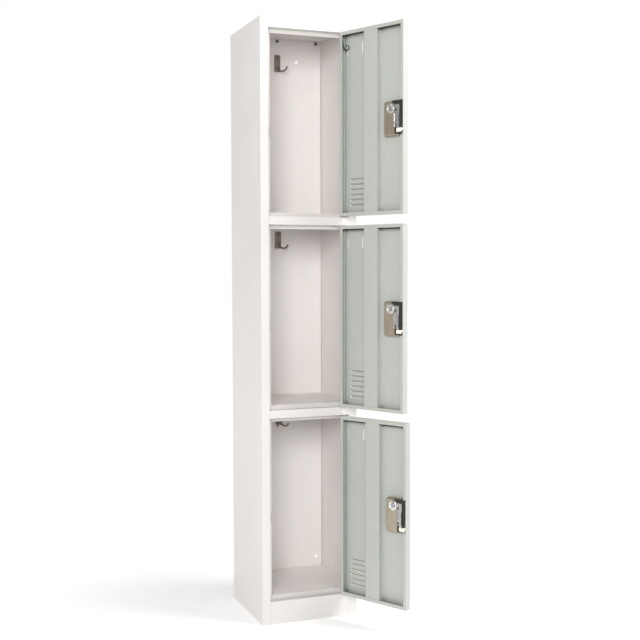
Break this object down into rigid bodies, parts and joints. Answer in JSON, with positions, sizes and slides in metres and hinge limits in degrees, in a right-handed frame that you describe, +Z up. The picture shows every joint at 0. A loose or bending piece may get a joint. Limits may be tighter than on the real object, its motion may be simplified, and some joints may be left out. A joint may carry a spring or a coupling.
{
  "type": "locker cabinet",
  "caption": "Tall narrow steel locker cabinet with stacked compartments, hinged louvered doors, recessed lift handles and coat hooks.",
  "frame": {"origin": "middle of the front face of the cabinet at floor level", "axes": "+X to the right seen from the front, -Y out of the front, +Z up"},
  "size_m": [0.3846, 0.5464, 1.829],
  "materials": {
    "body_paint": "semi-gloss warm off-white enamel on sheet steel",
    "frame_paint": "semi-gloss warm off-white enamel on the door frame",
    "door_paint": "semi-gloss pale grey enamel",
    "cup_steel": "satin drawn steel",
    "tab_steel": "satin",
    "dark_steel": "black finish on pressed steel",
    "zinc_steel": "zinc plated",
    "hook_steel": "dark zinc",
    "fastener_steel": "dark zinc",
    "lock_metal": "bright plated",
    "nylon": "natural cream nylon"
  },
  "bodies": {
    "cabinet": {"right_side_panel": "body_paint", "left_side_panel": "body_paint", "back_panel": "body_paint", "top_panel": "body_paint", "upper_shelf": "body_paint", "lower_shelf": "body_paint", "bottom_panel": "body_paint", "right_upright": "frame_paint", "left_upright": "frame_paint", "right_door_stop": "frame_paint", "left_door_stop": "frame_paint", "strike_plates": "zinc_steel", "header_rail": "frame_paint", "upper_cross_rail": "frame_paint", "lower_cross_rail": "frame_paint", "bottom_rail": "frame_paint", "front_base_plate": "frame_paint", "hinge_pins": "zinc_steel", "hook_rivets": "fastener_steel", "body_bolts": "fastener_steel", "body_nuts": "fastener_steel", "upper_frame_hinge_leaves": "frame_paint", "upper_coat_hook": "hook_steel", "middle_frame_hinge_leaves": "frame_paint", "middle_coat_hook": "hook_steel", "lower_frame_hinge_leaves": "frame_paint", "lower_coat_hook": "hook_steel"},
    "upper_door": {"upper_door_panel": "door_paint", "upper_door_stiffener": "door_paint", "upper_door_hinge_leaves": "door_paint", "upper_handle_cup": "cup_steel", "upper_latch_guard": "dark_steel", "upper_slide_rivets": "zinc_steel", "upper_lock_cylinder": "lock_metal"},
    "upper_latch": {"upper_latch_slide": "zinc_steel", "upper_lift_tab": "tab_steel", "upper_latch_nose": "nylon"},
    "upper_cam": {"upper_lock_cam": "zinc_steel"},
    "middle_door": {"middle_door_panel": "door_paint", "middle_door_stiffener": "door_paint", "middle_door_hinge_leaves": "door_paint", "middle_handle_cup": "cup_steel", "middle_latch_guard": "dark_steel", "middle_slide_rivets": "zinc_steel", "middle_lock_cylinder": "lock_metal"},
    "middle_latch": {"middle_latch_slide": "zinc_steel", "middle_lift_tab": "tab_steel", "middle_latch_nose": "nylon"},
    "middle_cam": {"middle_lock_cam": "zinc_steel"},
    "lower_door": {"lower_door_panel": "door_paint", "lower_door_stiffener": "door_paint", "lower_door_hinge_leaves": "door_paint", "lower_handle_cup": "cup_steel", "lower_latch_guard": "dark_steel", "lower_slide_rivets": "zinc_steel", "lower_lock_cylinder": "lock_metal"},
    "lower_latch": {"lower_latch_slide": "zinc_steel", "lower_lift_tab": "tab_steel", "lower_latch_nose": "nylon"},
    "lower_cam": {"lower_lock_cam": "zinc_steel"}
  },
  "joints": [
    {"name": "upper_door_hinge", "type": "hinge", "parent": "cabinet", "child": "upper_door", "pos_m": [0.1203, -0.0035, 1.5175], "axis": [0, 0, 1], "range_deg": [-114.5, 50.5]},
    {"name": "upper_latch_lift", "type": "slide", "parent": "upper_door", "child": "upper_latch", "axis": [0, 0, 1], "range_m": [0, 0.01]},
    {"name": "upper_lock_turn", "type": "hinge", "parent": "upper_door", "child": "upper_cam", "pos_m": [0.18032, -0.19187, 1.546], "axis": [0.91, 0.4147, 0], "range_deg": [0, 90]},
    {"name": "middle_door_hinge", "type": "hinge", "parent": "cabinet", "child": "middle_door", "pos_m": [0.1203, -0.0035, 0.9335], "axis": [0, 0, 1], "range_deg": [-114.5, 50.5]},
    {"name": "middle_latch_lift", "type": "slide", "parent": "middle_door", "child": "middle_latch", "axis": [0, 0, 1], "range_m": [0, 0.01]},
    {"name": "middle_lock_turn", "type": "hinge", "parent": "middle_door", "child": "middle_cam", "pos_m": [0.18032, -0.19187, 0.962], "axis": [0.91, 0.4147, 0], "range_deg": [0, 90]},
    {"name": "lower_door_hinge", "type": "hinge", "parent": "cabinet", "child": "lower_door", "pos_m": [0.1203, -0.0035, 0.3495], "axis": [0, 0, 1], "range_deg": [-117.5, 47.5]},
    {"name": "lower_latch_lift", "type": "slide", "parent": "lower_door", "child": "lower_latch", "axis": [0, 0, 1], "range_m": [0, 0.01]},
    {"name": "lower_lock_turn", "type": "hinge", "parent": "lower_door", "child": "lower_cam", "pos_m": [0.1901, -0.18847, 0.378], "axis": [0.887, 0.4617, 0], "range_deg": [0, 90]}
  ]
}
